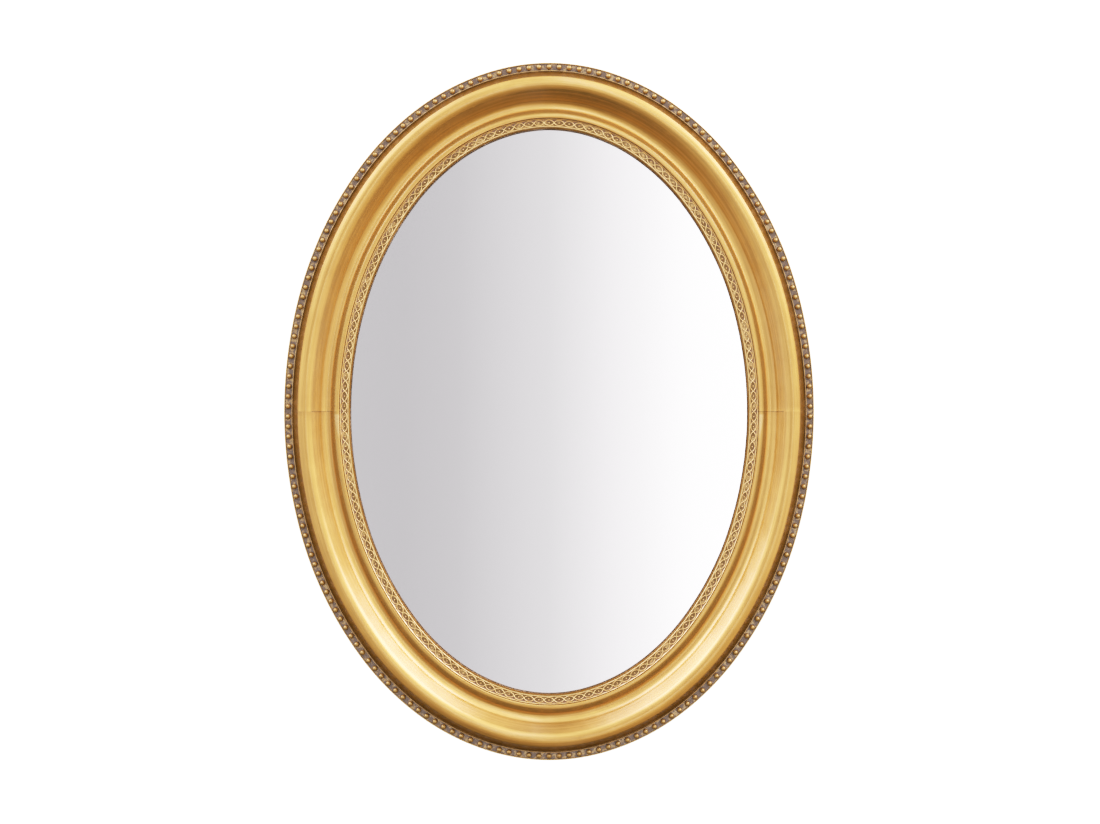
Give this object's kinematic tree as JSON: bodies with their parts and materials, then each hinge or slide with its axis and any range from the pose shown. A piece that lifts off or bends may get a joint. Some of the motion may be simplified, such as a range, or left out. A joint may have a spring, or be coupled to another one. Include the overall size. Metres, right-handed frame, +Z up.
{
  "type": "oval wall mirror",
  "caption": "Oval wall mirror in a wide gilded wooden moulding with an outer row of pearl beading and an inner carved guilloche band, hung by two ring hangers.",
  "frame": {"origin": "centre of the oval on the wall plane, which the two bumpers touch", "axes": "+Z up the wall along the oval's long axis, -Y out of the mirror's face, +X to the right for someone who looks into the mirror"},
  "size_m": [0.57, 0.035, 0.75],
  "materials": {
    "gilded_wood": "water gilding, rubbed and toned",
    "gilded_beading": "gilding, worn, with dark wax in the hollows",
    "gilded_carving": "gilding, worn, with dark wax in the hollows",
    "beech": "plain turned wood",
    "glass": "clear float glass",
    "silvering": "silver film with grey backing paint",
    "hardboard": "smooth pressed board",
    "steel": "dull bright steel",
    "plated_steel": "yellow zinc plating",
    "felt": "pressed felt"
  },
  "bodies": {
    "framed_mirror": {"frame_upper_half": "gilded_wood", "frame_lower_half": "gilded_wood", "joint_dowels_left": "beech", "joint_dowels_right": "beech", "pearl_beading_upper": "gilded_beading", "pearl_beading_lower": "gilded_beading", "guilloche_band_upper": "gilded_carving", "guilloche_band_lower": "gilded_carving", "mirror_glass": "glass", "silvering": "silvering", "backing_board": "hardboard", "retaining_points": "steel", "hanger_strap_left": "plated_steel", "hanger_strap_right": "plated_steel", "hanger_screws_left": "steel", "hanger_screws_right": "steel", "bumper_left": "felt", "bumper_right": "felt"},
    "left_ring": {"hanger_ring_left": "plated_steel"},
    "right_ring": {"hanger_ring_right": "plated_steel"}
  },
  "joints": [
    {"name": "left_ring_swing", "type": "hinge", "parent": "framed_mirror", "child": "left_ring", "pos_m": [-0.13976, -0.00267, 0.30003], "axis": [-1, 0, 0], "range_deg": [0, 175]},
    {"name": "right_ring_swing", "type": "hinge", "parent": "framed_mirror", "child": "right_ring", "pos_m": [0.13976, -0.00267, 0.30003], "axis": [-1, 0, 0], "range_deg": [0, 175]}
  ]
}
